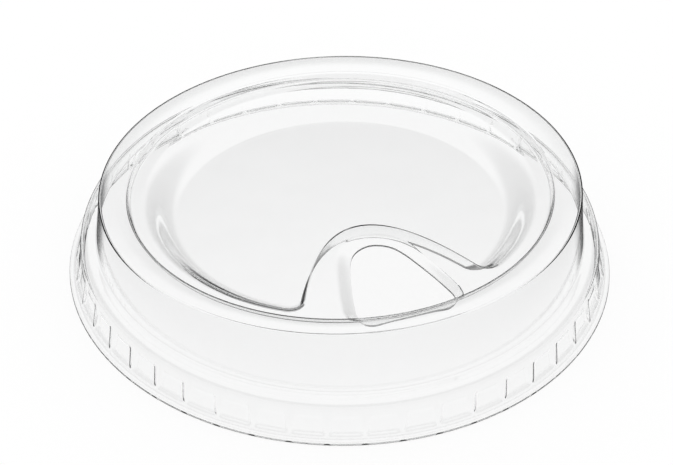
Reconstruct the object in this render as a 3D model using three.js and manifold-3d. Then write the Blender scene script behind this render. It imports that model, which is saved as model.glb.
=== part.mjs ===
// Sipper cup lid: one sheet of clear plastic, vacuum formed in one piece. A flat flange
// carries a flared skirt with snap panels, a level shoulder that sits on the cup's rolled
// rim, and a dome wall up to a hollow rim whose top slopes down from the sipper to the back.
// Inside the rim a narrow ledge surrounds a sunken deck. The ledge runs inwards at the
// front as a plateau with a rounded-triangle sip hole in a shallow basin.
// Millimetres, +Z up, sipper towards -Y, origin at the middle of the flange's underside.
import * as THREE from 'three';
import { mergeVertices } from 'three/addons/utils/BufferGeometryUtils.js';
import Module from 'manifold-3d';

// Driving dimensions
const SHEET = 0.4; // thickness of the formed sheet
const FLANGE_R = 51; // cut edge of the flange
const FLANGE_WIDTH = 1.2; // from the cut edge to the skirt's foot
const SKIRT_FOOT_Z = 1.2; // lower edge of the snap panels
const SKIRT_TOP_Z = 5.95; // upper edge of the snap panels
const SKIRT_FLARE = 0.8; // how far the foot stands outside the skirt's top
const PANEL_COUNT = 44;
const PANEL_TURN = -1.4; // degrees from the sipper's axis to the nearest panel's middle
const PANEL_DEPTH_LOW = 0.42; // depth of a panel at its lower edge
const PANEL_DEPTH_HIGH = 0.22; // and at its upper edge
const RIB_LOW = 1.15; // width left between two panels at their lower edge
const RIB_HIGH = 2.4; // and at their upper edge
const SHOULDER_Z = 8.6; // top of the level shoulder
const SHOULDER_INSET = 2.1; // from the skirt's top in to the shoulder's level ring
const SHOULDER_FLAT = 0.85; // width of the level ring
const RIM_R = 45.55; // outside of the dome wall at the rim
const RIM_Z = 19.1; // crown of the rim above the flange, at the lid's axis
const RIM_SLOPE = 0.0757; // rise of the rim's plane towards the sipper, per millimetre
const RIM_WIDTH = 5.85; // from the dome wall to the rim's inner edge
const LEDGE_DROP = 1.65; // from the crown down to the ledge
const DECK_R = 37.2; // where the ledge turns down to the deck
const DECK_DROP = 3.85; // from the ledge down to the deck
const DECK_RUN = 6.4; // horizontal run of the wall between them
const ARCH_APEX = 9.25; // plateau's inner end, from the lid's axis
const ARCH_SPREAD = 14.6; // square of the plateau's half width per millimetre behind its end
const ARCH_RUN = 1.55; // horizontal run of the plateau's wall
const ARCH_CORNER = 3; // radius where the plateau's side turns into the ledge
const HOLE_APEX = 15; // sip hole's inner end, from the lid's axis
const HOLE_BASE = 37.8; // sip hole's outer edge
const HOLE_HALF = 9.6; // half of its greatest width
const HOLE_TURN = 1.4; // degrees by which the punch stands off the basin's axis
const COLLAR_BACK = 2.7; // width of the basin's slope at the hole's inner end
const COLLAR_FRONT = 1.9; // and at its outer edge
const BASIN_DROP_BACK = 0.9; // from the plateau down to the hole's edge, inner end
const BASIN_DROP_FRONT = 1.6; // and at its outer edge

// Sizes that follow from those
const SKIRT_FOOT_R = FLANGE_R - FLANGE_WIDTH;
const SKIRT_TOP_R = SKIRT_FOOT_R - SKIRT_FLARE;
const SHOULDER_R = SKIRT_TOP_R - SHOULDER_INSET;
const RIM_INNER_R = RIM_R - RIM_WIDTH;
const LEDGE_Z = RIM_Z - LEDGE_DROP;
const LEDGE_R = RIM_INNER_R - 0.7;
const PITCH = (2 * Math.PI) / PANEL_COUNT;
const COLUMNS = Math.round(PANEL_COUNT * 1.5);
const PANEL_Z = SKIRT_TOP_Z - SKIRT_FOOT_Z;

const wasm = await Module();
wasm.setup();

// Height of a point of the lid's sloping top: z is its height at the axis, and weight
// runs from 0 at the level shoulder to 1 at the rim.
function tilted(x, y, z, weight) {
  return [x, y, z - weight * RIM_SLOPE * y];
}

// A closed solid from 32-bit triangles.
function solid(points, faces) {
  const geometry = new THREE.BufferGeometry();
  geometry.setAttribute('position', new THREE.Float32BufferAttribute(points.flat(), 3));
  geometry.setIndex(faces.flat());
  const merged = mergeVertices(geometry, 1e-5);
  const vertProperties = merged.attributes.position.array;
  const triVerts = new Uint32Array(merged.index.array);
  return new wasm.Manifold(new wasm.Mesh({ numProp: 3, vertProperties, triVerts }));
}

// Joins a lower ring to an upper one with triangles. Each ring is {start, angles}, its
// points counterclockwise from above, and the two may have different numbers of points.
function stitch(faces, low, high) {
  const n = low.angles.length;
  const m = high.angles.length;
  let i = 0;
  let j = 0;
  while (i < n || j < m) {
    const nextLow = i < n ? low.angles[(i + 1) % n] + (i + 1 >= n ? 2 * Math.PI : 0) : Infinity;
    const nextHigh = j < m ? high.angles[(j + 1) % m] + (j + 1 >= m ? 2 * Math.PI : 0) : Infinity;
    const a = low.start + (i % n);
    const b = high.start + (j % m);
    const takeLow = n === m ? i <= j : nextLow < nextHigh;
    if (takeLow) {
      faces.push([a, low.start + ((i + 1) % n), b]);
      i += 1;
    } else {
      faces.push([a, high.start + ((j + 1) % m), b]);
      j += 1;
    }
  }
}

// Stacks rings of points into a closed body, from its bottom ring to its top one. Each
// ring is {angles, points}. Flat ends are closed round a middle point.
function stack(rings) {
  const points = [];
  const faces = [];
  const placed = [];
  for (const ring of rings) {
    placed.push({ start: points.length, angles: ring.angles });
    points.push(...ring.points);
  }
  for (let k = 0; k + 1 < placed.length; k += 1) {
    stitch(faces, placed[k], placed[k + 1]);
  }
  const ends = [
    [rings[0], placed[0], true],
    [rings[rings.length - 1], placed[placed.length - 1], false],
  ];
  for (const [ring, place, bottom] of ends) {
    const count = ring.points.length;
    const middle = points.length;
    points.push(ring.middle);
    for (let i = 0; i < count; i += 1) {
      const a = place.start + i;
      const b = place.start + ((i + 1) % count);
      faces.push(bottom ? [b, a, middle] : [a, b, middle]);
    }
  }
  return solid(points, faces);
}

// Moves a profile of [r, z] corners square to itself, so that a sheet keeps its
// thickness round the bends. The profile runs up and inwards with the sheet on its left.
function inset(profile, distance) {
  return profile.map(([r, z], k) => {
    const before = k > 0 ? profile[k - 1] : null;
    const after = k + 1 < profile.length ? profile[k + 1] : null;
    const normals = [];
    for (const [from, to] of [[before, [r, z]], [[r, z], after]]) {
      if (from && to) {
        const dr = to[0] - from[0];
        const dz = to[1] - from[1];
        const length = Math.hypot(dr, dz);
        normals.push([-dz / length, dr / length]);
      }
    }
    const [p, q] = normals.length === 2 ? normals : [normals[0], normals[0]];
    const scale = distance / (1 + p[0] * q[0] + p[1] * q[1]);
    return [r + (p[0] + q[0]) * scale, z + (p[1] + q[1]) * scale];
  });
}

// The lid's outer section, from the flange's top to the ledge, split at the snap panels.
const FLANGE_PROFILE = [
  [FLANGE_R, SHEET],
  [SKIRT_FOOT_R + 0.45, SHEET],
  [SKIRT_FOOT_R + 0.15, SHEET + 0.2],
];
const DOME_PROFILE = [
  [SKIRT_TOP_R - 0.15, SKIRT_TOP_Z + 1.15],
  [SHOULDER_R + 1.4, SHOULDER_Z - 0.65],
  [SHOULDER_R + 0.65, SHOULDER_Z - 0.18],
  [SHOULDER_R, SHOULDER_Z],
  [SHOULDER_R - SHOULDER_FLAT, SHOULDER_Z],
  [SHOULDER_R - SHOULDER_FLAT - 0.2, SHOULDER_Z + 0.4],
  [RIM_R, RIM_Z - 1.15],
  [RIM_R - 0.17, RIM_Z - 0.58],
  [RIM_R - 0.55, RIM_Z - 0.22],
  [RIM_R - 1.15, RIM_Z - 0.06],
  [RIM_R - 2.8, RIM_Z],
  [RIM_INNER_R + 1.1, RIM_Z - 0.12],
  [RIM_INNER_R + 0.45, RIM_Z - 0.35],
  [RIM_INNER_R + 0.05, RIM_Z - 0.75],
  [RIM_INNER_R - 0.2, LEDGE_Z + 0.18],
  [LEDGE_R, LEDGE_Z],
];
const FIRST_TILTED = 6; // the dome profile's first corner on the sloping rim

// One corner of the skirt, k = 0 to 3 from the panels' lower edge to their upper one.
function skirtCorner(k, inPanel) {
  const share = [0, 0.05, 0.95, 1][k];
  const depth = [0, PANEL_DEPTH_LOW, PANEL_DEPTH_HIGH, 0][k];
  const r = SKIRT_FOOT_R - SKIRT_FLARE * share;
  return [inPanel ? r - depth : r, SKIRT_FOOT_Z + PANEL_Z * share];
}

// The whole section through a panel or through the rib between two panels.
function section(inPanel, distance) {
  const skirt = [0, 1, 2, 3].map((k) => skirtCorner(k, inPanel));
  const corners = [...FLANGE_PROFILE, ...skirt, ...DOME_PROFILE];
  return distance > 0 ? inset(corners, distance) : corners;
}

// A plain round ring of the section, with the sloping share of its height.
function roundRing([r, z], weight) {
  const angles = [];
  const points = [];
  for (let i = 0; i < COLUMNS; i += 1) {
    const a = (2 * Math.PI * i) / COLUMNS;
    angles.push(a);
    points.push(tilted(r * Math.sin(a), -r * Math.cos(a), z, weight));
  }
  return { angles, points, middle: [0, 0, z] };
}

// A ring of the skirt with four points to each panel: rib edge, floor edge, and back.
function panelRing(k, floor, rib, distance) {
  const share = k < 2 ? 0 : 1;
  const ribWidth = RIB_LOW + (RIB_HIGH - RIB_LOW) * share - 1.6 * distance;
  const outer = (PITCH - Math.max(ribWidth, 0.2) / SKIRT_TOP_R) / 2;
  const ramp = 0.2 / SKIRT_TOP_R;
  const list = [];
  for (let i = 0; i < PANEL_COUNT; i += 1) {
    const middle = PITCH * i + THREE.MathUtils.degToRad(PANEL_TURN);
    list.push([middle - outer, rib], [middle - outer + ramp, floor]);
    list.push([middle + outer - ramp, floor], [middle + outer, rib]);
  }
  const angles = list.map(([a]) => a);
  const points = list.map(([a, [r, z]]) => [r * Math.sin(a), -r * Math.cos(a), z]);
  return { angles, points, middle: [0, 0, 0] };
}

// The dome body: the lid's outside with distance 0, its inside with the sheet's.
function domeBody(distance) {
  const ribSection = section(false, distance);
  const panelSection = section(true, distance);
  const rings = [];
  if (distance > 0) {
    rings.push(roundRing([ribSection[1][0], -2], 0));
    rings.push(roundRing(ribSection[1], 0));
  } else {
    rings.push(roundRing([FLANGE_R, 0], 0));
    rings.push(roundRing(ribSection[0], 0));
    rings.push(roundRing(ribSection[1], 0));
  }
  rings.push(roundRing(ribSection[2], 0));
  for (let k = 0; k < 4; k += 1) {
    rings.push(panelRing(k, panelSection[3 + k], ribSection[3 + k], distance));
  }
  DOME_PROFILE.forEach((_, k) => {
    rings.push(roundRing(ribSection[7 + k], k < FIRST_TILTED ? 0 : 1));
  });
  return stack(rings);
}

// Point where a circle of the corner's radius touches both the plateau's side and the
// ledge's edge, and the directions to them.
function cornerOf(edgeR, apex, spread, radius) {
  const side = (w) => [w, apex + (w * w) / spread];
  const nearest = (cx, cd) => {
    let low = 0;
    let high = edgeR;
    for (let n = 0; n < 60; n += 1) {
      const a = low + (high - low) / 3;
      const b = high - (high - low) / 3;
      const da = Math.hypot(side(a)[0] - cx, side(a)[1] - cd);
      const db = Math.hypot(side(b)[0] - cx, side(b)[1] - cd);
      if (da < db) {
        high = b;
      } else {
        low = a;
      }
    }
    return (low + high) / 2;
  };
  const gap = (theta) => {
    const cx = (edgeR - radius) * Math.sin(theta);
    const cd = (edgeR - radius) * Math.cos(theta);
    const w = nearest(cx, cd);
    return Math.hypot(side(w)[0] - cx, side(w)[1] - cd) - radius;
  };
  const width = Math.sqrt(spread * (edgeR - apex));
  let low = Math.asin(Math.min(0.9, (width * 0.8) / edgeR));
  let high = Math.PI / 2;
  for (let n = 0; n < 60; n += 1) {
    const mid = (low + high) / 2;
    if (gap(mid) < 0) {
      low = mid;
    } else {
      high = mid;
    }
  }
  const theta = (low + high) / 2;
  const centre = [(edgeR - radius) * Math.sin(theta), (edgeR - radius) * Math.cos(theta)];
  return { theta, centre, touch: nearest(...centre) };
}

// The deck's outline as [x, y] points, counterclockwise from the plateau's inner end.
// The counts are the same for every outline, so two of them can be joined point by point.
function deckOutline(edgeR, apex, spread, radius) {
  const { theta, centre, touch } = cornerOf(edgeR, apex, spread, radius);
  const half = [];
  for (let i = 0; i < 10; i += 1) {
    const w = (touch * i) / 10;
    half.push([w, apex + (w * w) / spread]);
  }
  const from = Math.atan2(touch - centre[0], apex + (touch * touch) / spread - centre[1]);
  for (let i = 0; i < 6; i += 1) {
    const a = from + ((theta - from) * i) / 6;
    half.push([centre[0] + radius * Math.sin(a), centre[1] + radius * Math.cos(a)]);
  }
  for (let i = 0; i <= 24; i += 1) {
    const a = theta + ((Math.PI - theta) * i) / 24;
    half.push([edgeR * Math.sin(a), edgeR * Math.cos(a)]);
  }
  const mirrored = half.slice(1, -1).reverse().map(([x, d]) => [-x, d]);
  return [...half, ...mirrored].map(([x, d]) => [x, -d]);
}

// Steps of the fall from the ledge to the deck as [share of the run, share of the drop].
const FALL = [[0, 0], [0.16, 0.06], [0.34, 0.26], [0.66, 0.74], [0.84, 0.94], [1, 1]];

// The hollow above the deck, grown by the sheet for its underside.
function deckHollow(distance) {
  const top = deckOutline(DECK_R, ARCH_APEX, ARCH_SPREAD, ARCH_CORNER);
  const foot = deckOutline(
    DECK_R - DECK_RUN, ARCH_APEX - ARCH_RUN, ARCH_SPREAD * 1.1, ARCH_CORNER * 0.75,
  );
  const columns = top.map(([x, y], i) => {
    const run = Math.hypot(foot[i][0] - x, foot[i][1] - y);
    const way = [(foot[i][0] - x) / run, (foot[i][1] - y) / run];
    const local = FALL.map(([s, d]) => [-s * run, LEDGE_Z - d * DECK_DROP]);
    const ends = [[1, LEDGE_Z], ...local, [-run - 1, LEDGE_Z - DECK_DROP]];
    const moved = distance > 0 ? inset(ends, distance).slice(1, -1) : local;
    return moved.map(([r, z]) => tilted(x - way[0] * r, y - way[1] * r, z, 1));
  });
  const angles = top.map((_, i) => i);
  const middle = [0, DECK_R / 4];
  const rings = FALL.map((_, k) => {
    const points = columns.map((column) => column[k]);
    const z = points[0][2] + RIM_SLOPE * points[0][1];
    return { angles, points, middle: tilted(...middle, z, 1) };
  });
  const lid = columns.map(([[x, y]]) => tilted(x, y, LEDGE_Z + 3, 1));
  rings.unshift({ angles, points: lid, middle: tilted(...middle, LEDGE_Z + 3, 1) });
  return stack(rings.reverse());
}

// Half of the sip hole's outline: share of the half width, share of the length.
const HOLE_SHAPE = [
  [0, 0], [0.24, 0.03], [0.42, 0.095], [0.555, 0.2], [0.68, 0.35],
  [0.82, 0.54], [0.94, 0.73], [1, 0.86], [0.975, 0.945], [0.8, 0.985],
  [0.42, 0.996],
];

// The sip hole's outline, counterclockwise from its inner end, with outward normals and
// how far each point stands outside the basin's own outline.
function holeOutline() {
  const length = HOLE_BASE - HOLE_APEX;
  const at = ([u, v]) => new THREE.Vector3(u * HOLE_HALF, -(HOLE_APEX + v * length), 0);
  const left = HOLE_SHAPE.slice(1).reverse().map(([u, v]) => [-u, v]);
  const knots = [...left, ...HOLE_SHAPE].map(at);
  knots.splice(0, 0, at([0, 1]));
  const curve = new THREE.CatmullRomCurve3(knots, true, 'centripetal');
  const formed = curve.getSpacedPoints(48).slice(0, 48).map((p) => [p.x, p.y]).reverse();
  const cos = Math.cos(THREE.MathUtils.degToRad(HOLE_TURN));
  const sin = Math.sin(THREE.MathUtils.degToRad(HOLE_TURN));
  const punched = formed.map(([x, y]) => [x * cos - y * sin, x * sin + y * cos]);
  return punched.map(([x, y], i) => {
    const a = punched[(i + 47) % 48];
    const b = punched[(i + 1) % 48];
    const long = Math.hypot(b[0] - a[0], b[1] - a[1]);
    const nx = (b[1] - a[1]) / long;
    const ny = -(b[0] - a[0]) / long;
    return { x, y, nx, ny, stray: nx * (x - formed[i][0]) + ny * (y - formed[i][1]) };
  });
}

// Steps of the basin's slope as [share of its width, share of its drop].
const SLOPE_STEPS = [[1, 0], [0.84, 0.06], [0.6, 0.27], [0, 1], [-0.25, 1.3]];

// The shallow basin round the sip hole, grown by the sheet for its underside.
function basin(distance) {
  const outline = holeOutline();
  const angles = outline.map((_, i) => i);
  const columns = outline.map(({ x, y, nx, ny, stray }) => {
    const share = (-y - HOLE_APEX) / (HOLE_BASE - HOLE_APEX);
    const wanted = COLLAR_BACK + (COLLAR_FRONT - COLLAR_BACK) * share - stray;
    const along = x * nx + y * ny;
    const room = Math.sqrt(along ** 2 - x ** 2 - y ** 2 + (LEDGE_R - 0.05) ** 2) - along;
    const width = (wanted ** -8 + room ** -8) ** -0.125;
    const drop = BASIN_DROP_BACK + (BASIN_DROP_FRONT - BASIN_DROP_BACK) * share;
    const local = SLOPE_STEPS.map(([s, d]) => [s * width, LEDGE_Z - d * drop]);
    const ends = [[width + 1, LEDGE_Z], ...local, [-width, LEDGE_Z - 2.4 * drop]];
    const moved = distance > 0 ? inset(ends, distance).slice(1, -1) : local;
    moved.unshift([moved[0][0], LEDGE_Z + 1]);
    return moved.map(([out, z]) => tilted(x + nx * out, y + ny * out, z, 1));
  });
  const rings = columns[0].map((_, k) => {
    const points = columns.map((column) => column[k]);
    const low = points.reduce((sum, p) => sum + p[2], 0) / points.length;
    return { angles, points, middle: [0, -(HOLE_APEX + HOLE_BASE) / 2, low] };
  });
  return stack(rings.reverse());
}

// The punched hole itself, through the basin's floor.
function holeCutter() {
  const outline = holeOutline();
  const angles = outline.map((_, i) => i);
  const rings = [LEDGE_Z - 6, LEDGE_Z + 3].map((z) => ({
    angles,
    points: outline.map(({ x, y }) => tilted(x, y, z, 1)),
    middle: tilted(0, -(HOLE_APEX + HOLE_BASE) / 2, z, 1),
  }));
  return stack(rings);
}

// The lid: its outside less its inside, both with the deck and the basin sunk in.
const outside = domeBody(0).subtract(deckHollow(0)).subtract(basin(0));
const inside = domeBody(SHEET).subtract(deckHollow(SHEET)).subtract(basin(SHEET));
const formed = outside.subtract(inside).subtract(holeCutter());

const cut = formed.getMesh();
const geometry = new THREE.BufferGeometry();
geometry.setAttribute('position', new THREE.Float32BufferAttribute(cut.vertProperties, 3));
geometry.setIndex(Array.from(cut.triVerts));
geometry.computeVertexNormals();

const clear = new THREE.MeshStandardMaterial({
  color: 0xf2f4f5, roughness: 0.06, metalness: 0, transparent: true, opacity: 0.3,
});
const shell = new THREE.Mesh(geometry, clear);
shell.name = 'lid_shell';

const lid = new THREE.Group();
lid.name = 'sipper_cup_lid';
lid.add(shell);

export default lid;
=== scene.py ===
# %% [markdown]
# # A clear sipper cup lid
# The lid is one sheet of clear plastic, drawn over a mould and trimmed. Clear sheet shows
# its shape only by the light it bends, so this script models the real sheet, with both of
# its faces, and lights it against white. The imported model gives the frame: metres, +Z up,
# the sipper towards -Y and the flange standing on the floor.

# %% Load the frame
import math

import bmesh
import bpy
from mathutils import Matrix, Vector


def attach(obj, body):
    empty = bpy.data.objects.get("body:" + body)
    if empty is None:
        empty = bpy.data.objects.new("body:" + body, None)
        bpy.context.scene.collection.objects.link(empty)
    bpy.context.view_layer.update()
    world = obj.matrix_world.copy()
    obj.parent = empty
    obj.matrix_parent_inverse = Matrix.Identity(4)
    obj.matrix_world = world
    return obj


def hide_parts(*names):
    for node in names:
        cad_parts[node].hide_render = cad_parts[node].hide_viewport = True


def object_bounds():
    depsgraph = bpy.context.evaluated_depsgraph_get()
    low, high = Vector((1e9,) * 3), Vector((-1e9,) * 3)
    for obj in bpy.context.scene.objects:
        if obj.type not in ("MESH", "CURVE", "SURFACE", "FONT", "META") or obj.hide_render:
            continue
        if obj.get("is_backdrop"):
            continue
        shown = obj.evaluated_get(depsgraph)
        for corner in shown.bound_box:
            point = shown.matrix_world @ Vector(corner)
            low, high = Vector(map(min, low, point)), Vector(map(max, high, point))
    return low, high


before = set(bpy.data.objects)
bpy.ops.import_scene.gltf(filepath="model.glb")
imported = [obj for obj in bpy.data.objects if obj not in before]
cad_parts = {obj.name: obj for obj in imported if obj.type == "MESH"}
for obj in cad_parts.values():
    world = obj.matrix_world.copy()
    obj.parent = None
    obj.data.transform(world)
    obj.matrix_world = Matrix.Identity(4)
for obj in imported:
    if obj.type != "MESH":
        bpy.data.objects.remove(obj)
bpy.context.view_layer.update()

# %% [markdown]
# ## Sizes
# Every size is in millimetres and has the name and value that it has in the part's source,
# so the smooth sheet made here lies on the faceted one. Metres come in only when a mesh is
# made.

# %% Sizes of the sheet
SHEET = 0.4
FLANGE_R = 51.0
SKIRT_FOOT_R, SKIRT_TOP_R = 49.8, 49.0
SKIRT_FOOT_Z, SKIRT_TOP_Z = 1.2, 5.95
PANEL_COUNT, PANEL_TURN = 44, -1.4
PANEL_DEPTH_LOW, PANEL_DEPTH_HIGH = 0.42, 0.22
RIB_LOW, RIB_HIGH = 1.15, 2.4
SHOULDER_Z, SHOULDER_R, SHOULDER_FLAT = 8.6, 46.9, 0.85
RIM_R, RIM_Z, RIM_SLOPE, RIM_WIDTH = 45.55, 19.1, 0.0757, 5.85
LEDGE_DROP, DECK_R, DECK_DROP, DECK_RUN = 1.65, 37.2, 3.85, 6.4
ARCH_APEX, ARCH_SPREAD, ARCH_RUN, ARCH_CORNER = 9.25, 14.6, 1.55, 3.0
HOLE_APEX, HOLE_BASE, HOLE_HALF, HOLE_TURN = 15.0, 37.8, 9.6, 1.4
COLLAR_BACK, COLLAR_FRONT = 2.7, 1.9
BASIN_DROP_BACK, BASIN_DROP_FRONT = 0.9, 1.6
RIM_INNER_R = RIM_R - RIM_WIDTH
LEDGE_Z = RIM_Z - LEDGE_DROP
LEDGE_R = RIM_INNER_R - 0.7
PITCH = 2 * math.pi / PANEL_COUNT
MM = 1000  # millimetres in a metre
WELD = 2e-6  # metres; points closer than this are one point
DECK_Z = LEDGE_Z - DECK_DROP
print("rim top at", RIM_Z, "ledge at", round(LEDGE_Z, 2), "deck at", round(DECK_Z, 2))

# %% [markdown]
# ## Sections with real bends
# Formed sheet never turns a sharp corner. A section is written as a few corners, each with
# the radius of its bend, and `bent` walks along it and puts an arc in each. `moved` shifts a
# section square to itself, which gives the sheet's other face at an even thickness.


# %% Bent sections
def bent(corners, steps=7):
    """Points along corners of (r, z, radius); the first and last corners stay sharp."""
    path = [Vector(corners[0][:2])]
    for before, (r, z, radius), after in zip(corners, corners[1:], corners[2:]):
        corner = Vector((r, z))
        back = (Vector(before[:2]) - corner).normalized()
        ahead = (Vector(after[:2]) - corner).normalized()
        half = back.angle(ahead) / 2
        middle = corner + (back + ahead).normalized() * (radius / math.sin(half))
        start = corner + back * (radius / math.tan(half)) - middle
        end = corner + ahead * (radius / math.tan(half)) - middle
        turn = start.angle_signed(end)
        for k in range(steps + 1):
            path.append(middle + Matrix.Rotation(-turn * k / steps, 2) @ start)
    path.append(Vector(corners[-1][:2]))
    return path


def moved(path, distance):
    """The path shifted to its left, with its corners mitred."""
    shifted = []
    for k, point in enumerate(path):
        ways = []
        for a, b in ((k - 1, k), (k, k + 1)):
            if a >= 0 and b < len(path):
                way = (path[b] - path[a]).normalized()
                ways.append(Vector((-way.y, way.x)))
        p, q = ways[0], ways[-1]
        shifted.append(point + (p + q) * (distance / (1 + p.dot(q))))
    return shifted


trial = bent([(10, 0, 0), (0, 0, 2), (0, 10, 0)])
print("a bend of radius 2 runs from", trial[1][:], "to", trial[-2][:])

# %% [markdown]
# ## The grids
# Each stretch of the lid is a grid of rings. `Sheet` gathers points and faces, joins rings
# that have different numbers of points, and becomes a mesh in metres. Faces noted in
# `trimmed` carry a mark into the mesh, so the plastic can be rougher where it was cut.


# %% A gatherer for rings
class Sheet:
    """Rings of points and the faces between them, in millimetres."""

    def __init__(self):
        self.points, self.faces, self.trimmed = [], [], set()

    def ring(self, points):
        """Adds points and gives back their numbers."""
        start = len(self.points)
        self.points += [tuple(p) for p in points]
        return list(range(start, len(self.points)))

    def join(self, low, high, closed=True):
        """Quads between two rings of one count."""
        n = len(low)
        for i in range(n if closed else n - 1):
            j = (i + 1) % n
            self.faces.append((low[i], low[j], high[j], high[i]))

    def join_uneven(self, low, low_angles, high, high_angles):
        """Triangles between two closed rings of different counts."""
        n, m, i, j = len(low), len(high), 0, 0
        full = 2 * math.pi
        while i < n or j < m:
            a = low_angles[(i + 1) % n] + full * ((i + 1) // n) if i < n else 1e9
            b = high_angles[(j + 1) % m] + full * ((j + 1) // m) if j < m else 1e9
            if a < b:
                self.faces.append((low[i % n], low[(i + 1) % n], high[j % m]))
                i += 1
            else:
                self.faces.append((low[i % n], high[(j + 1) % m], high[j % m]))
                j += 1

    def turn_over(self, start):
        """Turns the faces made since start to face the other way."""
        self.faces[start:] = [tuple(reversed(f)) for f in self.faces[start:]]

    def mesh(self, name):
        """The points and faces as a mesh in metres."""
        mesh = bpy.data.meshes.new(name)
        mesh.from_pydata([[v / MM for v in p] for p in self.points], [], self.faces)
        mesh.update()
        cut = mesh.attributes.new("trimmed", "FLOAT", "FACE")
        marks = [float(i in self.trimmed) for i in range(len(self.faces))]
        cut.data.foreach_set("value", marks)
        return mesh


def on_ring(r, angle, z, weight=0.0):
    """A point at an angle from the sipper, with its share of the top's slope."""
    x, y = r * math.sin(angle), -r * math.cos(angle)
    return (x, y, z - weight * RIM_SLOPE * y)


print("the rim's rise from back to sipper (mm):", round(2 * RIM_R * RIM_SLOPE, 2))

# %% [markdown]
# ## The snap panels
# Forty-four shallow panels are pressed into the skirt, with wedge-shaped ribs left between
# them. They grip under the cup's rolled rim. Modelling one slice, from the middle of one rib
# to the middle of the next, and letting Geometry Nodes turn it round the axis keeps all of
# them alike. The slice takes in the flange below and the rounded shoulder above, because
# those are the same all round too. A panel's sides are soft ramps: a steep side would bend
# the light into a hard dark stroke, and the real one shows almost nothing at the front.


# %% One slice's columns and depths
def soft(t):
    """A smooth step from 0 to 1."""
    t = min(1.0, max(0.0, t))
    return t * t * (3 - 2 * t)


RAMP = 0.85  # how wide a panel's side is
RAMP_LOW, RAMP_HIGH = 0.7, 1.3  # how tall its lower and upper ends are
UNDER_WIDEN = 0.11  # how much further the panel reaches sideways on the inner face
UNDER_LOW, UNDER_HIGH = 0.3, 0.12  # and how much further down and up
RAMP_SHARES = (0, 0.25, 0.5, 0.75, 1)
FLOOR_SHARES = (-0.94, -0.5, 0.0, 0.5, 0.94)
FLOOR_ROWS = 7


def slice_columns(share, widen):
    """Angles across the slice and how far each lies in the panel, at a share of its height."""
    rib = RIB_LOW + (RIB_HIGH - RIB_LOW) * share - 2 * widen
    half = (PITCH - rib / SKIRT_TOP_R) / 2
    ramp = RAMP / SKIRT_TOP_R
    edge = [(half + ramp * (0.5 - t), soft(t)) for t in RAMP_SHARES]
    inside = [(f * (half - ramp / 2), 1.0) for f in FLOOR_SHARES]
    left = [(-a, depth) for a, depth in edge]
    right = [(a, depth) for a, depth in reversed(edge)]
    return [(-PITCH / 2, 0.0), *left, *inside, *right, (PITCH / 2, 0.0)]


def panel_rows(foot, top, shift):
    """Rows of the skirt as (r of the ribs, z, share of height, depth)."""
    rows = []
    floor_tall = top - RAMP_HIGH - foot - RAMP_LOW
    heights = [foot + RAMP_LOW * t for t in RAMP_SHARES]
    heights += [foot + RAMP_LOW + floor_tall * t / FLOOR_ROWS for t in range(1, FLOOR_ROWS)]
    heights += [top - RAMP_HIGH * t for t in reversed(RAMP_SHARES)]
    for z in heights:
        share = (z - SKIRT_FOOT_Z) / (SKIRT_TOP_Z - SKIRT_FOOT_Z)
        r = SKIRT_FOOT_R + (SKIRT_TOP_R - SKIRT_FOOT_R) * share - shift
        depth = PANEL_DEPTH_LOW + (PANEL_DEPTH_HIGH - PANEL_DEPTH_LOW) * share
        fade = min(soft((z - foot) / RAMP_LOW), soft((top - z) / RAMP_HIGH))
        rows.append((r, z, min(1.0, max(0.0, share)), depth * fade))
    return rows


print("columns in a slice:", len(slice_columns(0.5, 0.0)))

# %% The slice's section, from the flange's cut edge up to the level ring
low_path = bent(
    [
        (FLANGE_R, SHEET / 2, 0),
        (FLANGE_R, SHEET, 0.1),
        (SKIRT_FOOT_R + 0.13, SHEET, 0.5),
        (SKIRT_FOOT_R, SKIRT_FOOT_Z, 0),
    ],
    steps=4,
)
high_path = bent(
    [
        (SKIRT_TOP_R, SKIRT_TOP_Z, 0),
        (SKIRT_TOP_R - 0.25, SHOULDER_Z, 1.75),
        (SHOULDER_R - 0.45, SHOULDER_Z, 0),
    ],
    steps=7,
)
under_low = moved(low_path, SHEET)[6:-1]
under_low = [Vector((FLANGE_R - 0.1, 0.0))] + under_low
edge_low = [Vector((FLANGE_R, SHEET / 4)), Vector((FLANGE_R - 0.03, 0.03))]
under_high = moved(high_path, SHEET)[1:]
SLANT = SHEET / math.cos(math.atan2(SKIRT_FOOT_R - SKIRT_TOP_R, SKIRT_TOP_Z - SKIRT_FOOT_Z))

outer_rows = [(p.x, p.y, 0.0, 0.0) for p in low_path[:-1]]
outer_rows += panel_rows(SKIRT_FOOT_Z, SKIRT_TOP_Z, 0.0)
outer_rows += [(p.x, p.y, 1.0, 0.0) for p in high_path[1:]]
inner_rows = [(p.x, p.y, 0.0, 0.0) for p in edge_low + under_low]
inner_rows += panel_rows(SKIRT_FOOT_Z - UNDER_LOW, SKIRT_TOP_Z + UNDER_HIGH, SLANT)
inner_rows += [(p.x, p.y, 1.0, 0.0) for p in under_high]
print("rows on the outer face:", len(outer_rows), "and on the inner face:", len(inner_rows))

# %% The slice as a mesh
slice_sheet = Sheet()


def slice_ring(row, widen):
    """One row of the slice, pressed in where a column lies in the panel."""
    r, z, share, depth = row
    columns = slice_columns(share, widen)
    return slice_sheet.ring(on_ring(r - depth * d, a, z) for a, d in columns)


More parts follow.
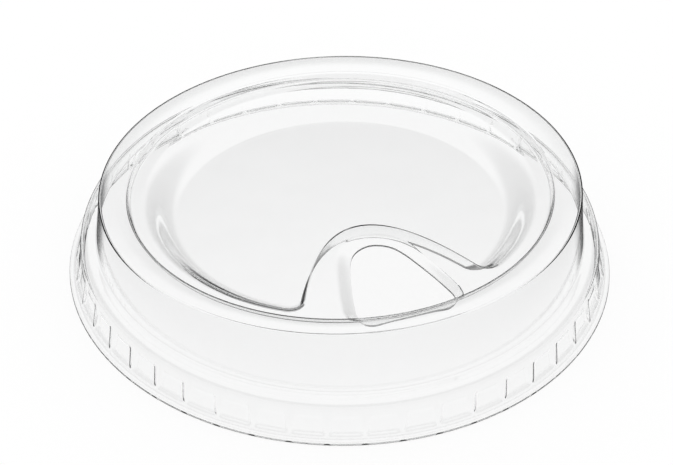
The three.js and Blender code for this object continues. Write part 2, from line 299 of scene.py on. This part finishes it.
outer_rings = [slice_ring(row, 0.0) for row in outer_rows]
inner_rings = [outer_rings[0]] + [slice_ring(row, UNDER_WIDEN) for row in inner_rows]
for low, high in zip(outer_rings, outer_rings[1:]):
    slice_sheet.join(low, high, closed=False)
for low, high in zip(inner_rings, inner_rings[1:]):
    slice_sheet.join(high, low, closed=False)
slice_object = bpy.data.objects.new("skirt_slice", slice_sheet.mesh("skirt_slice"))
bpy.context.collection.objects.link(slice_object)
print("faces in one slice:", len(slice_sheet.faces))

# %% [markdown]
# ## Turning the slice round
# The tree makes one point for each panel, all on the axis, and puts the slice on every point
# with its own turn. Neighbouring slices then share a line of points, which are merged, so the
# skirt is one unbroken ring.


# %% A node tree for the ring
def ring_tree():
    """A tree that turns copies of one slice round the axis and merges them."""
    tree = bpy.data.node_groups.new("ring_of_panels", "GeometryNodeTree")
    face = tree.interface
    face.new_socket("Geometry", in_out="INPUT", socket_type="NodeSocketGeometry")
    for name, kind in (("Panels", "Int"), ("Turn", "Float"), ("Weld", "Float")):
        face.new_socket(name, in_out="INPUT", socket_type=f"NodeSocket{kind}")
    face.new_socket("Material", in_out="INPUT", socket_type="NodeSocketMaterial")
    face.new_socket("Geometry", in_out="OUTPUT", socket_type="NodeSocketGeometry")
    node = tree.nodes.new
    link = tree.links.new
    enter, leave = node("NodeGroupInput"), node("NodeGroupOutput")
    points = node("GeometryNodePoints")
    link(enter.outputs["Panels"], points.inputs["Count"])
    index = node("GeometryNodeInputIndex")
    pitch = node("ShaderNodeMath")
    pitch.operation = "DIVIDE"
    pitch.inputs[0].default_value = 2 * math.pi
    link(enter.outputs["Panels"], pitch.inputs[1])
    angle = node("ShaderNodeMath")
    angle.operation = "MULTIPLY_ADD"
    link(index.outputs[0], angle.inputs[0])
    link(pitch.outputs[0], angle.inputs[1])
    link(enter.outputs["Turn"], angle.inputs[2])
    turn = node("ShaderNodeCombineXYZ")
    link(angle.outputs[0], turn.inputs["Z"])
    copies = node("GeometryNodeInstanceOnPoints")
    link(points.outputs[0], copies.inputs["Points"])
    link(enter.outputs["Geometry"], copies.inputs["Instance"])
    link(turn.outputs[0], copies.inputs["Rotation"])
    real = node("GeometryNodeRealizeInstances")
    link(copies.outputs[0], real.inputs[0])
    weld = node("GeometryNodeMergeByDistance")
    link(real.outputs[0], weld.inputs["Geometry"])
    link(enter.outputs["Weld"], weld.inputs["Distance"])
    finish = node("GeometryNodeSetMaterial")
    link(weld.outputs[0], finish.inputs["Geometry"])
    link(enter.outputs["Material"], finish.inputs["Material"])
    link(finish.outputs[0], leave.inputs[0])
    return tree


# %% Run the tree and keep the mesh
def settle(obj, tree, values):
    """Runs a tree on an object with named values and keeps the result as a plain mesh."""
    modifier = obj.modifiers.new("nodes", "NODES")
    modifier.node_group = tree
    for item in tree.interface.items_tree:
        if item.in_out == "INPUT" and item.name in values:
            modifier[item.identifier] = values[item.name]
    bpy.context.view_layer.update()
    ready = obj.evaluated_get(bpy.context.evaluated_depsgraph_get())
    mesh = bpy.data.meshes.new_from_object(ready)
    obj.modifiers.clear()
    return mesh


clear_plastic = bpy.data.materials.new("clear_plastic")
skirt_mesh = settle(
    slice_object,
    ring_tree(),
    {
        "Panels": PANEL_COUNT,
        "Turn": math.radians(PANEL_TURN),
        "Weld": WELD,
        "Material": clear_plastic,
    },
)
bpy.data.objects.remove(slice_object)
print("skirt points:", len(skirt_mesh.vertices), "faces:", len(skirt_mesh.polygons))

# %% [markdown]
# ## The dome wall and the hollow rim
# Above the level ring the lid is no longer the same all round: the rim's plane rises by
# 4.3 degrees towards the sipper. Each ring keeps its circle seen from above and only its
# height is sheared, by nothing at the wall's foot and fully at the rim. The rim is a hollow
# channel, open underneath, as a drawn bead is.

# %% The dome's section
WALL_FOOT_R = SHOULDER_R - SHOULDER_FLAT - 0.2
foot_path = bent(
    [
        (SHOULDER_R - 0.45, SHOULDER_Z, 0),
        (WALL_FOOT_R + 0.03, SHOULDER_Z, 0.38),
        (WALL_FOOT_R, SHOULDER_Z + 0.5, 0),
    ],
    steps=5,
)
rim_path = bent(
    [
        (RIM_R, RIM_Z - 1.2, 0),
        (RIM_R, RIM_Z - 0.03, 0.62),
        (RIM_R - 2.8, RIM_Z + 0.02, 14.0),
        (RIM_INNER_R + 0.3, RIM_Z - 0.2, 0.75),
        (RIM_INNER_R - 0.2, LEDGE_Z, 0.42),
        (LEDGE_R - 0.05, LEDGE_Z, 0),
    ],
    steps=7,
)
WALL_STEPS = 5
wall_shares = [t / WALL_STEPS for t in range(1, WALL_STEPS)]
wall_path = [foot_path[-1].lerp(rim_path[0], t) for t in wall_shares]
dome_path = foot_path + wall_path + rim_path
dome_weights = [0.0] * len(foot_path) + wall_shares + [1.0] * len(rim_path)
dome_under = moved(dome_path, SHEET)
dome_under[0] = under_high[-1]
print("dome rings:", len(dome_path), "rim crown at", round(max(p.y for p in dome_path), 2))

# %% The dome's rings
DOME_COLUMNS = 330
dome_angles = [2 * math.pi * i / DOME_COLUMNS for i in range(DOME_COLUMNS)]


def seam_angles(widen):
    """The angles of the skirt's top row, which the dome's first ring has to meet."""
    starts = [PITCH * k + math.radians(PANEL_TURN) for k in range(PANEL_COUNT)]
    return [start + a for start in starts for a, _ in slice_columns(1.0, widen)[:-1]]


dome = Sheet()
ledge_loops = []
for path, widen, up in ((dome_path, 0.0, True), (dome_under, UNDER_WIDEN, False)):
    angles = seam_angles(widen)
    first = dome.ring(on_ring(path[0].x, a, path[0].y) for a in angles)
    rings = [
        dome.ring(on_ring(p.x, a, p.y, w) for a in dome_angles)
        for p, w in zip(path[1:], dome_weights[1:])
    ]
    before = len(dome.faces)
    dome.join_uneven(first, angles, rings[0], dome_angles)
    for low, high in zip(rings, rings[1:]):
        dome.join(low, high)
    if not up:
        dome.turn_over(before)
    ledge_loops.append([dome.points[i] for i in rings[-1]])
print("dome faces:", len(dome.faces))

# %% [markdown]
# ## The deck and the plateau
# Inside the ledge the sheet drops by `DECK_DROP` to a flat deck. Its outline is a circle
# with a parabola pushed in at the front, which leaves the plateau that carries the sip hole.
# Two outlines are made, one at the top of the wall and one at its foot, with their points in
# step, and the wall's S-shaped section runs from each point to its partner.


# %% The deck's outline
def touch_of(edge_r, apex, spread, radius):
    """Where a bend of this radius touches both the plateau's side and the ledge's edge."""

    def side(w):
        return Vector((w, apex + w * w / spread))

    def nearest(centre):
        low, high = 0.0, edge_r
        for _ in range(60):
            a, b = low + (high - low) / 3, high - (high - low) / 3
            if (side(a) - centre).length < (side(b) - centre).length:
                high = b
            else:
                low = a
        return (low + high) / 2

    low = math.asin(min(0.9, math.sqrt(spread * (edge_r - apex)) * 0.8 / edge_r))
    high = math.pi / 2
    for _ in range(60):
        theta = (low + high) / 2
        centre = Vector((math.sin(theta), math.cos(theta))) * (edge_r - radius)
        if (side(nearest(centre)) - centre).length < radius:
            low = theta
        else:
            high = theta
    return theta, centre, nearest(centre)


def deck_outline(edge_r, apex, spread, radius, counts=(40, 20, 110)):
    """The outline, counterclockwise from the plateau's inner end, as (x, y)."""
    theta, centre, touch = touch_of(edge_r, apex, spread, radius)
    half = []
    for i in range(counts[0]):
        w = touch * i / counts[0]
        half.append((w, apex + w * w / spread))
    start = math.atan2(touch - centre.x, apex + touch * touch / spread - centre.y)
    for i in range(counts[1]):
        a = start + (theta - start) * i / counts[1]
        half.append((centre.x + radius * math.sin(a), centre.y + radius * math.cos(a)))
    for i in range(counts[2] + 1):
        a = theta + (math.pi - theta) * i / counts[2]
        half.append((edge_r * math.sin(a), edge_r * math.cos(a)))
    mirrored = [(-x, d) for x, d in reversed(half[1:-1])]
    return [Vector((x, -d)) for x, d in half + mirrored]


# %% The deck's wall
FOOT_SPREAD, FOOT_CORNER = ARCH_SPREAD * 1.1, ARCH_CORNER * 0.75
top_line = deck_outline(DECK_R, ARCH_APEX, ARCH_SPREAD, ARCH_CORNER)
foot_line = deck_outline(DECK_R - DECK_RUN, ARCH_APEX - ARCH_RUN, FOOT_SPREAD, FOOT_CORNER)
FALL_STEPS = 18
fall = []
for t in range(FALL_STEPS + 1):
    share = t / FALL_STEPS
    fall.append(Vector((share, (1 - math.cos(math.pi * share)) / 2)))
print("points in the deck's outline:", len(top_line))

# %% The deck's rings
ON_LEDGE, ON_DECK = 0.25, 0.3  # how far the wall's rings reach out on the flats
deck = Sheet()
deck_edges = {}
for name, distance in (("outer", 0.0), ("inner", SHEET)):
    columns = []
    for top, foot in zip(top_line, foot_line):
        run = (foot - top).length
        way = (foot - top) / run
        local = [Vector((ON_LEDGE, LEDGE_Z))]
        local += [Vector((-p.x * run, LEDGE_Z - p.y * DECK_DROP)) for p in fall]
        local.append(Vector((-run - ON_DECK, DECK_Z)))
        if distance:
            local = moved(local, distance)
        places = [(top - way * p.x, p.y) for p in local]
        columns.append([(q.x, q.y, z - RIM_SLOPE * q.y) for q, z in places])
    rings = [deck.ring(c[k] for c in columns) for k in range(len(columns[0]))]
    before = len(deck.faces)
    for low, high in zip(rings, rings[1:]):
        deck.join(low, high)
    if name == "inner":
        deck.turn_over(before)
    deck_edges[name] = (
        [deck.points[i] for i in rings[0]],
        [deck.points[i] for i in rings[-1]],
    )
print("deck wall faces:", len(deck.faces))

# %% [markdown]
# ## The sip hole and its basin
# The hole is a rounded triangle, punched through a shallow basin in the plateau. Its outline
# comes from a few knots joined by a smooth closed curve. The basin's slope runs outwards from
# it, and narrows where the hole comes near the rim, so that it always ends on the ledge.

# %% A smooth closed curve
HOLE_SHAPE = [
    (0, 0), (0.24, 0.03), (0.42, 0.095), (0.555, 0.2), (0.68, 0.35), (0.82, 0.54),
    (0.94, 0.73), (1, 0.86), (0.975, 0.945), (0.8, 0.985), (0.42, 0.996), (0, 1),
]
HOLE_POINTS, KNOT_STEPS = 200, 24


def smooth_loop(knots, count):
    """Evenly spaced points on a centripetal Catmull-Rom loop through the knots."""
    dense = []
    n = len(knots)
    for i in range(n):
        p = [knots[(i + k - 1) % n] for k in range(4)]
        t = [0.0]
        for a, b in zip(p, p[1:]):
            t.append(t[-1] + math.sqrt((b - a).length))
        for s in range(KNOT_STEPS):
            u = t[1] + (t[2] - t[1]) * s / KNOT_STEPS
            a = [p[k].lerp(p[k + 1], (u - t[k]) / (t[k + 1] - t[k])) for k in range(3)]
            b = [a[k].lerp(a[k + 1], (u - t[k]) / (t[k + 2] - t[k])) for k in range(2)]
            dense.append(b[0].lerp(b[1], (u - t[1]) / (t[2] - t[1])))
    lengths = [0.0]
    for i in range(len(dense)):
        lengths.append(lengths[-1] + (dense[(i + 1) % len(dense)] - dense[i]).length)
    places, k = [], 0
    for i in range(count):
        want = lengths[-1] * i / count
        while lengths[k + 1] < want:
            k += 1
        share = (want - lengths[k]) / (lengths[k + 1] - lengths[k])
        places.append(dense[k].lerp(dense[(k + 1) % len(dense)], share))
    return places


# %% The hole's outline
def hole_knot(u, v):
    """A knot of the outline at a share of the hole's half width and of its length."""
    return Vector((u * HOLE_HALF, -(HOLE_APEX + v * (HOLE_BASE - HOLE_APEX))))


knots = [hole_knot(-u, v) for u, v in HOLE_SHAPE[1:-1]]
knots += [hole_knot(u, v) for u, v in reversed(HOLE_SHAPE)]
formed_line = smooth_loop(knots, HOLE_POINTS)
pairs = zip(formed_line, formed_line[1:] + formed_line[:1])
area = sum(a.x * b.y - b.x * a.y for a, b in pairs) / 2
if area < 0:
    formed_line.reverse()
punch = Matrix.Rotation(math.radians(HOLE_TURN), 2)
hole_line = [punch @ point for point in formed_line]
print("sip hole area (mm2):", round(abs(area), 1))


# %% The basin's slope
def room_to(point, out, radius):
    """How far from the point, along out, a circle of this radius lies."""
    b = point.dot(out)
    return -b + math.sqrt(b * b - point.length_squared + radius * radius)


def curve(a, b, c, steps):
    """A bend from a to c that leaves towards b."""
    ts = [t / steps for t in range(steps + 1)]
    return [a * (1 - t) ** 2 + b * (2 * t * (1 - t)) + c * t * t for t in ts]


slope = curve(Vector((1, 0)), Vector((0.8, 0)), Vector((0.6, 0.26)), 6)
slope += [Vector((0.6 * (1 - t / 3), 0.26 + 0.74 * t / 3)) for t in range(1, 4)]
LEAST_LEDGE = 0.05  # the flat that is always left between the basin and the rim
EDGE_THIN = 0.3  # the share of the thickness that the punch takes off the lower corner
EDGE_RING = 0.85  # a ring close to the edge keeps smooth shading from spreading inwards
print("points down the basin's slope:", len(slope))


# %% The basin's rings
def basin_width(point, formed, out, share):
    """The basin's width here, eased down where the rim leaves less room."""
    wanted = COLLAR_BACK + (COLLAR_FRONT - COLLAR_BACK) * share - out.dot(point - formed)
    room = room_to(point, out, LEDGE_R - LEAST_LEDGE)
    return 1 / (wanted**-8 + room**-8) ** 0.125


def met_edge(local):
    """The inner face's path, ended level with the outer face's cut edge."""
    last, near = local[-1], local[-2]
    if last.x > 0:
        end = last + (last - near) * (last.x / (near.x - last.x))
    else:
        end = near.lerp(last, near.x / (near.x - last.x))
    return local[:-1] + [end + Vector((0, SHEET * EDGE_THIN))]


basin_edges = {}
basin = Sheet()
rims = {}
count = len(hole_line)
for name, distance in (("outer", 0.0), ("inner", SHEET)):
    columns = []
    for i, point in enumerate(hole_line):
        along = (hole_line[(i + 1) % count] - hole_line[i - 1]).normalized()
        out = Vector((along.y, -along.x))
        share = (-point.y - HOLE_APEX) / (HOLE_BASE - HOLE_APEX)
        width = basin_width(point, formed_line[i], out, share)
        drop = BASIN_DROP_BACK + (BASIN_DROP_FRONT - BASIN_DROP_BACK) * share
        local = [Vector((width + 0.12, LEDGE_Z))]
        local += [Vector((p.x * width, LEDGE_Z - p.y * drop)) for p in slope]
        if distance:
            local = met_edge(moved(local, distance))
        local.insert(-1, local[-2].lerp(local[-1], EDGE_RING))
        places = [(point + out * p.x, p.y) for p in local]
        columns.append([(q.x, q.y, z - RIM_SLOPE * q.y) for q, z in places])
    rings = [basin.ring(c[k] for c in columns) for k in range(len(columns[0]))]
    before = len(basin.faces)
    for low, high in zip(rings, rings[1:]):
        basin.join(high, low)
    if name == "inner":
        basin.turn_over(before)
    basin_edges[name] = [basin.points[i] for i in rings[0]]
    rims[name] = rings[-1]
before = len(basin.faces)
basin.join(rims["inner"], rims["outer"])
basin.trimmed.update(range(before, len(basin.faces)))
print("basin faces:", len(basin.faces))

# %% [markdown]
# ## Filling the flats
# The ledge with the plateau, and the deck, are flat on both faces of the sheet. A flat needs
# no grid: its loops are filled with triangles. Each loop lies a little way out on the flat,
# so that smooth shading ends there and the flats stay flat.


# %% Fill the flats
def fill(bm, loops):
    """Triangles over a flat, between its loops."""
    edges = []
    for loop in loops:
        verts = [bm.verts.new([v / MM for v in p]) for p in loop]
        edges += [bm.edges.new((a, b)) for a, b in zip(verts, verts[1:] + verts[:1])]
    bmesh.ops.triangle_fill(bm, use_beauty=True, use_dissolve=False, edges=edges)


sheet_bm = bmesh.new()
for mesh in (skirt_mesh, dome.mesh("dome"), deck.mesh("deck"), basin.mesh("basin")):
    sheet_bm.from_mesh(mesh)
before = len(sheet_bm.faces)
for k, name in enumerate(("outer", "inner")):
    fill(sheet_bm, [ledge_loops[k], deck_edges[name][0], basin_edges[name]])
    fill(sheet_bm, [deck_edges[name][1]])
print("faces on the flats:", len(sheet_bm.faces) - before)

# %% Weld, close and turn outwards
PINCH = 1e-5  # metres; where the inner face's tight corner folds onto itself
bmesh.ops.remove_doubles(sheet_bm, verts=sheet_bm.verts, dist=WELD)
pinched = [e for e in sheet_bm.edges if len(e.link_faces) > 2 and e.calc_length() < PINCH]
bmesh.ops.collapse(sheet_bm, edges=pinched)
bmesh.ops.recalc_face_normals(sheet_bm, faces=sheet_bm.faces)
open_edges = [e for e in sheet_bm.edges if len(e.link_faces) != 2]
print("open or doubled edges:", len(open_edges))
if sheet_bm.calc_volume(signed=True) < 0:
    bmesh.ops.reverse_faces(sheet_bm, faces=sheet_bm.faces)
print("sheet volume (cm3):", round(sheet_bm.calc_volume() * 1e6, 3))
lid_mesh = bpy.data.meshes.new("clear_lid")
sheet_bm.to_mesh(lid_mesh)
sheet_bm.free()
lid_mesh.shade_smooth()
lid_mesh.materials.clear()
lid_mesh.materials.append(clear_plastic)
clear_lid = bpy.data.objects.new("clear_lid", lid_mesh)
bpy.context.collection.objects.link(clear_lid)
triangles = sum(len(p.vertices) - 2 for p in lid_mesh.polygons)
print("triangles in the lid:", triangles)

# %% [markdown]
# ## Clear plastic
# The lid is PET, which bends light as glass does. The shader is a fully transmissive
# Principled surface with PET's index. Drawn sheet is never quite even, so a broad, faint
# noise ripples it, and a finer one gives its gloss a slight haze. The hole's punched edge
# is rougher than the faces. Where the sheet is seen nearly edge-on, a near-black gloss is
# mixed in by the angle of view: painted shade, which draws the silhouettes and steep bends as
# dark lines.

# %% The plastic's surface
HAZE, CUT_ROUGH = 0.045, 0.15
# how edge-on the sheet must be for the painted shade to begin and to be full, and its largest
# share
EDGE_ON_START, EDGE_ON_FULL, PAINTED_SHADE_SHARE = 0.78, 0.93, 0.85
clear_plastic.use_nodes = True
nodes, links = clear_plastic.node_tree.nodes, clear_plastic.node_tree.links
surface = nodes["Principled BSDF"]
surface.inputs["Base Color"].default_value = (0.992, 0.994, 0.994, 1)
surface.inputs["IOR"].default_value = 1.575
surface.inputs["Transmission Weight"].default_value = 1.0
place = nodes.new("ShaderNodeTexCoord")
haze = nodes.new("ShaderNodeTexNoise")
haze.inputs["Scale"].default_value = 900
haze.inputs["Detail"].default_value = 3
links.new(place.outputs["Object"], haze.inputs["Vector"])
gloss = nodes.new("ShaderNodeMapRange")
gloss.inputs["To Min"].default_value = 0.0
gloss.inputs["To Max"].default_value = HAZE
links.new(haze.outputs["Fac"], gloss.inputs["Value"])
trimmed = nodes.new("ShaderNodeAttribute")
trimmed.attribute_name = "trimmed"
rough = nodes.new("ShaderNodeMath")
rough.operation = "MULTIPLY_ADD"
rough.inputs[1].default_value = CUT_ROUGH
links.new(trimmed.outputs["Fac"], rough.inputs[0])
links.new(gloss.outputs["Result"], rough.inputs[2])
links.new(rough.outputs[0], surface.inputs["Roughness"])

# %% The ripple and the painted edge shade
ripple = nodes.new("ShaderNodeTexNoise")
ripple.inputs["Scale"].default_value = 70
ripple.inputs["Detail"].default_value = 1.5
links.new(place.outputs["Object"], ripple.inputs["Vector"])
bump = nodes.new("ShaderNodeBump")
bump.inputs["Strength"].default_value = 0.25
bump.inputs["Distance"].default_value = 0.0002
links.new(ripple.outputs["Fac"], bump.inputs["Height"])
links.new(bump.outputs["Normal"], surface.inputs["Normal"])
# Painted shade: how edge-on the camera sees the sheet sets how much near-black gloss is mixed
# in
facing = nodes.new("ShaderNodeLayerWeight")
facing.inputs["Blend"].default_value = 0.5
edge_shade_mask = nodes.new("ShaderNodeMapRange")
edge_shade_mask.interpolation_type = "SMOOTHSTEP"
edge_shade_mask.inputs["From Min"].default_value = EDGE_ON_START
edge_shade_mask.inputs["From Max"].default_value = EDGE_ON_FULL
edge_shade_mask.inputs["To Max"].default_value = PAINTED_SHADE_SHARE
links.new(facing.outputs["Facing"], edge_shade_mask.inputs["Value"])
# the near-black gloss that paints shade along the edge-on sheet
painted_edge_shade = nodes.new("ShaderNodeBsdfAnisotropic")
painted_edge_shade.inputs["Color"].default_value = (0.04, 0.04, 0.042, 1)
painted_edge_shade.inputs["Roughness"].default_value = 0.08
sheet_look = nodes.new("ShaderNodeMixShader")
links.new(edge_shade_mask.outputs["Result"], sheet_look.inputs[0])
links.new(surface.outputs[0], sheet_look.inputs[1])
links.new(painted_edge_shade.outputs[0], sheet_look.inputs[2])
links.new(sheet_look.outputs[0], nodes["Material Output"].inputs["Surface"])
print("nodes in the plastic:", len(nodes))

# %% [markdown]
# ## The white table
# Clear plastic shows whatever lies behind it, and the photograph has plain white there. The
# table glows at `TABLE_GLOW` of full white to the camera and in mirrored and bent light,
# because paint under soft light alone comes out grey. The rest of it is white paint, which
# keeps the lid's faint shadow.


# %% Helpers for the stage
def make_prop(name, points, faces):
    """A thing on the stage, from its points and faces."""
    mesh = bpy.data.meshes.new(name)
    mesh.from_pydata(points, [], faces)
    obj = bpy.data.objects.new(name, mesh)
    bpy.context.collection.objects.link(obj)
    return obj


def seen_rays(nodes, links):
    """1 for what the camera sees straight on, mirrored or bent, and 0 for soft light."""
    rays = nodes.new("ShaderNodeLightPath")
    total = rays.outputs["Is Camera Ray"]
    for kind in ("Glossy", "Transmission"):
        step = nodes.new("ShaderNodeMath")
        step.operation = "MAXIMUM"
        links.new(total, step.inputs[0])
        links.new(rays.outputs[f"Is {kind} Ray"], step.inputs[1])
        total = step.outputs[0]
    return total


# %% The table
TABLE_R, TABLE_Z, TABLE_SIDES, TABLE_GLOW = 0.6, -0.0003, 60, 0.9
turns = [2 * math.pi * k / TABLE_SIDES for k in range(TABLE_SIDES)]
table = make_prop(
    "table",
    [(TABLE_R * math.cos(a), TABLE_R * math.sin(a), TABLE_Z) for a in turns],
    [tuple(range(TABLE_SIDES))],
)
table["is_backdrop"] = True
table_white = bpy.data.materials.new("table_white")
table_white.use_nodes = True
nodes, links = table_white.node_tree.nodes, table_white.node_tree.links
paint = nodes["Principled BSDF"]
paint.inputs["Base Color"].default_value = (0.9, 0.9, 0.9, 1)
paint.inputs["Roughness"].default_value = 0.7
open_white = nodes.new("ShaderNodeEmission")
open_white.inputs["Strength"].default_value = 1.0
share = nodes.new("ShaderNodeMath")
share.operation = "MULTIPLY"
share.inputs[1].default_value = TABLE_GLOW
links.new(seen_rays(nodes, links), share.inputs[0])
pick = nodes.new("ShaderNodeMixShader")
links.new(share.outputs[0], pick.inputs[0])
links.new(paint.outputs[0], pick.inputs[1])
links.new(open_white.outputs[0], pick.inputs[2])
links.new(pick.outputs[0], nodes["Material Output"].inputs["Surface"])
table.data.materials.append(table_white)
print("table radius (m):", TABLE_R)

# %% [markdown]
# ## The studio
# Soft white light comes from all round. Where the camera looks past the table, also by way of
# the plastic, it meets plain white.

# %% Light and backdrop
studio = bpy.data.worlds.new("studio")
bpy.context.scene.world = studio
studio.use_nodes = True
nodes, links = studio.node_tree.nodes, studio.node_tree.links
room_light = nodes["Background"]
room_light.inputs["Color"].default_value = (1, 1, 1, 1)
room_light.inputs["Strength"].default_value = 1.16
backdrop = nodes.new("ShaderNodeBackground")
backdrop.inputs["Color"].default_value = (1, 1, 1, 1)
choose = nodes.new("ShaderNodeMixShader")
links.new(seen_rays(nodes, links), choose.inputs[0])
links.new(room_light.outputs[0], choose.inputs[1])
links.new(backdrop.outputs[0], choose.inputs[2])
links.new(choose.outputs[0], nodes["World Output"].inputs["Surface"])
print("light from the room:", round(room_light.inputs["Strength"].default_value, 2))

# %% [markdown]
# ## The black surround
# A clear sheet on plain white shows almost nothing. A photographer stands black card round
# it, just out of the picture, and the sheet's steep bends mirror and bend the card into thin
# black lines. This ring of card is black low down and white higher up. It shows in mirrored
# and bent light only, and takes no light off the table.


# %% A graded glow
def graded(name, measure, start, end, first, last):
    """A glow that goes from a first tone to a last one, by height or by distance out."""
    material = bpy.data.materials.new(name)
    material.use_nodes = True
    nodes, links = material.node_tree.nodes, material.node_tree.links
    nodes.remove(nodes["Principled BSDF"])
    where = nodes.new("ShaderNodeTexCoord")
    if measure == "height":
        reach = nodes.new("ShaderNodeSeparateXYZ")
    else:
        reach = nodes.new("ShaderNodeVectorMath")
        reach.operation = "LENGTH"
    links.new(where.outputs["Object"], reach.inputs[0])
    tone = nodes.new("ShaderNodeMapRange")
    tone.interpolation_type = "SMOOTHSTEP"
    tone.inputs["From Min"].default_value = start
    tone.inputs["From Max"].default_value = end
    tone.inputs["To Min"].default_value = first
    tone.inputs["To Max"].default_value = last
    links.new(reach.outputs["Z" if measure == "height" else "Value"], tone.inputs["Value"])
    glow = nodes.new("ShaderNodeEmission")
    links.new(tone.outputs["Result"], glow.inputs["Strength"])
    links.new(glow.outputs[0], nodes["Material Output"].inputs["Surface"])
    return material


# %% The ring of card
SURROUND_R, SURROUND_TALL, SIDES = 0.32, 0.6, 96
DARK_TO, WHITE_FROM = 0.13, 0.27  # metres up the card
BLACK, WHITE = 0.01, 1.0
turns = [2 * math.pi * k / SIDES for k in range(SIDES)]
next_turn = [(k + 1) % SIDES for k in range(SIDES)]
surround = make_prop(
    "black_surround",
    [
        (SURROUND_R * math.cos(a), SURROUND_R * math.sin(a), z)
        for z in (0, SURROUND_TALL)
        for a in turns
    ],
    [(j, k, SIDES + k, SIDES + j) for k, j in enumerate(next_turn)],
)
surround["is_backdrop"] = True
surround.visible_camera = False
surround.visible_diffuse = False
surround.visible_shadow = False
surround.data.materials.append(
    graded("graded_card", "height", DARK_TO, WHITE_FROM, BLACK, WHITE)
)
print("sides of the surround:", SIDES)

# %% [markdown]
# ## The black mat
# The dome wall and the rim's front mirror the table round the lid, and the photograph shows
# them a little greyer than the table. The mat goes from white by the flange to black further
# out. A sharp edge would show as a line in the wall, so its tone changes softly. It shows in
# mirrored light only.

# %% The mat
MAT_R, MAT_Z = 0.0515, 0.0004
WHITE_TO, DARK_FROM = 0.045, 0.072  # metres from the axis
mat = make_prop(
    "black_mat",
    [(r * math.cos(a), r * math.sin(a), MAT_Z) for r in (MAT_R, SURROUND_R) for a in turns],
    [(k, j, SIDES + j, SIDES + k) for k, j in enumerate(next_turn)],
)
mat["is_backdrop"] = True
mat.visible_camera = False
mat.visible_diffuse = False
mat.visible_transmission = False
mat.visible_shadow = False
mat.data.materials.append(
    graded("graded_mat", "distance", WHITE_TO, DARK_FROM, WHITE, BLACK)
)
print("the mat starts", round((MAT_R - FLANGE_R / MM) * MM, 1), "mm from the flange")

# %% [markdown]
# ## The camera
# The lid was photographed from a good way off, so its lines hardly converge. The camera looks
# down at 39.5 degrees, turned 19.5 degrees from the sipper, through a long lens.

# %% Camera
SIPPER_TURN, LOOK_DOWN, ROLL = math.radians(19.5), math.radians(39.46), math.radians(0.591)
DISTANCE, SCALE = 2.2, 5.2925  # metres, and pixels of the photograph to a millimetre
AIM_RIGHT, AIM_UP = -3.128, 38.124  # pixels from the axis on the floor
PHOTO_WIDE, SENSOR_WIDE = 673, 36
turned = Matrix.Rotation(-SIPPER_TURN, 3, "Z")
back = turned @ Vector((0, -math.cos(LOOK_DOWN), math.sin(LOOK_DOWN)))
right = turned @ Vector((1, 0, 0))
up = back.cross(right)
right_r = right * math.cos(ROLL) + up * math.sin(ROLL)
up_r = up * math.cos(ROLL) - right * math.sin(ROLL)
aim = (right_r * (AIM_RIGHT / SCALE) + up_r * (AIM_UP / SCALE)) / MM
camera_data = bpy.data.cameras.new("camera")
camera_data.sensor_width = SENSOR_WIDE
camera_data.lens = SCALE * SENSOR_WIDE / PHOTO_WIDE * DISTANCE * MM
camera_data.clip_end = 20
camera = bpy.data.objects.new("camera", camera_data)
bpy.context.collection.objects.link(camera)
axes = Matrix((right_r, up_r, back)).transposed()
camera.matrix_world = Matrix.Translation(aim + back * DISTANCE) @ axes.to_4x4()
bpy.context.scene.camera = camera
bpy.context.scene.view_settings.view_transform = "Standard"
bpy.context.scene.cycles.max_bounces = 32
bpy.context.scene.cycles.transmission_bounces = 32
bpy.context.scene.cycles.glossy_bounces = 8
print("lens (mm):", round(camera_data.lens, 1))

# %% [markdown]
# ## Placing the lid in the model
# The lid has no joint, so its one body is the root. The smooth sheet rides on it and stands
# for the faceted one.

# %% Ride, replace and measure
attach(clear_lid, "root")
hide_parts("lid_shell")
low, high = [list(corner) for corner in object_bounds()]
print("visual box (m):", [round(v, 4) for v in low], [round(v, 4) for v in high])
